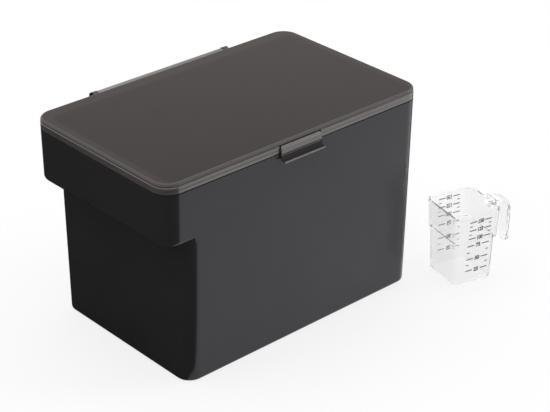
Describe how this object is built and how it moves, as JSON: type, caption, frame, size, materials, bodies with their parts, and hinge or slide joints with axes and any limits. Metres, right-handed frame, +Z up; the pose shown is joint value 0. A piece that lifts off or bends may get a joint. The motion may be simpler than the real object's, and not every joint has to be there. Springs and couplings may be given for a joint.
{
  "type": "pet food storage box",
  "caption": "Deep rectangular bin with an overhanging end, a hinged lid closed by a snap buckle, and a clear measuring cup with a hook handle.",
  "frame": {"origin": "centre of the bin's flat base, on the surface it stands on", "axes": "+X along the bin's long side, away from the overhanging end; -Y towards the buckle; +Z up"},
  "size_m": [0.409, 0.255, 0.2095],
  "materials": {
    "black_plastic": "satin black moulded plastic",
    "smoke_plastic": "smoked dark grey-brown moulded plastic",
    "smoke_panel": "smoked dark grey-brown plate, lightly frosted",
    "silicone": "soft grey silicone",
    "pin_steel": "drawn stainless wire",
    "clear_plastic": "clear moulded plastic"
  },
  "bodies": {
    "bin": {"bin_body": "black_plastic", "hinge_pin": "pin_steel"},
    "lid": {"lid_frame": "smoke_plastic", "lid_panel": "smoke_panel", "lid_gasket": "silicone", "buckle_pin": "pin_steel"},
    "buckle": {"buckle": "smoke_plastic"},
    "cup": {"measuring_cup": "clear_plastic"}
  },
  "joints": [
    {"name": "lid_hinge", "type": "hinge", "parent": "bin", "child": "lid", "pos_m": [-0.01, 0.1013, 0.203], "axis": [-1, 0, 0], "range_deg": [0, 110]},
    {"name": "buckle_pivot", "type": "hinge", "parent": "lid", "child": "buckle", "pos_m": [-0.01, -0.09345, 0.2017], "axis": [-1, 0, 0], "range_deg": [0, 50]},
    {"name": "cup_lift", "type": "slide", "parent": "bin", "child": "cup", "axis": [0, 0, 1], "range_m": [0, 0.15]}
  ]
}
